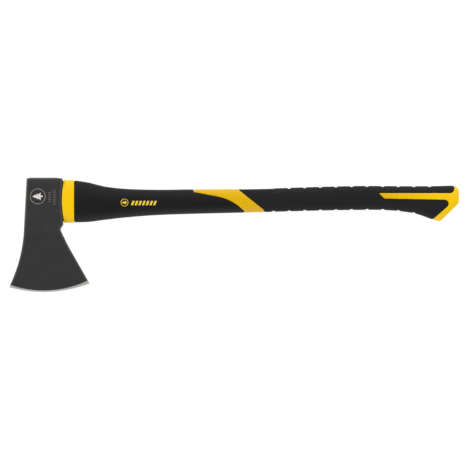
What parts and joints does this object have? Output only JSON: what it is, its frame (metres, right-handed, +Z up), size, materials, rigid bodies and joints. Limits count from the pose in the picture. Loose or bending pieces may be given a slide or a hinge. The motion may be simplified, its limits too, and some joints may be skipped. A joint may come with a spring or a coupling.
{
  "type": "felling axe",
  "caption": "Felling axe: forged black head with a ground curved edge, on a yellow moulded handle with a black front sleeve and a notched black rear grip.",
  "frame": {"origin": "on the rest plane, on the head's lower cheek, under the centre of the eye", "axes": "the axe lies flat on its side: +X along the handle from the head to the butt, +Y to the poll, -Y to the cutting edge, +Z up through the thickness"},
  "size_m": [0.7108, 0.1807, 0.033],
  "materials": {
    "coated_steel": "forged steel with a thin matt black coating; the ground cutting edge is bare and bright",
    "eye_resin": "cast epoxy, smooth and dark",
    "dam_foam": "closed-cell foam",
    "fibreglass": "pultruded glass fibre, fine lengthwise grain",
    "yellow_plastic": "satin moulded polypropylene, signal yellow",
    "sleeve_plastic": "fine-textured black moulding",
    "grip_rubber": "soft matt black thermoplastic rubber"
  },
  "bodies": {
    "root": {"axe_head": "coated_steel", "eye_resin": "eye_resin", "dam_ring": "dam_foam", "core_rod": "fibreglass", "handle_body": "yellow_plastic", "front_sleeve": "sleeve_plastic", "rear_grip": "grip_rubber"}
  },
  "joints": []
}
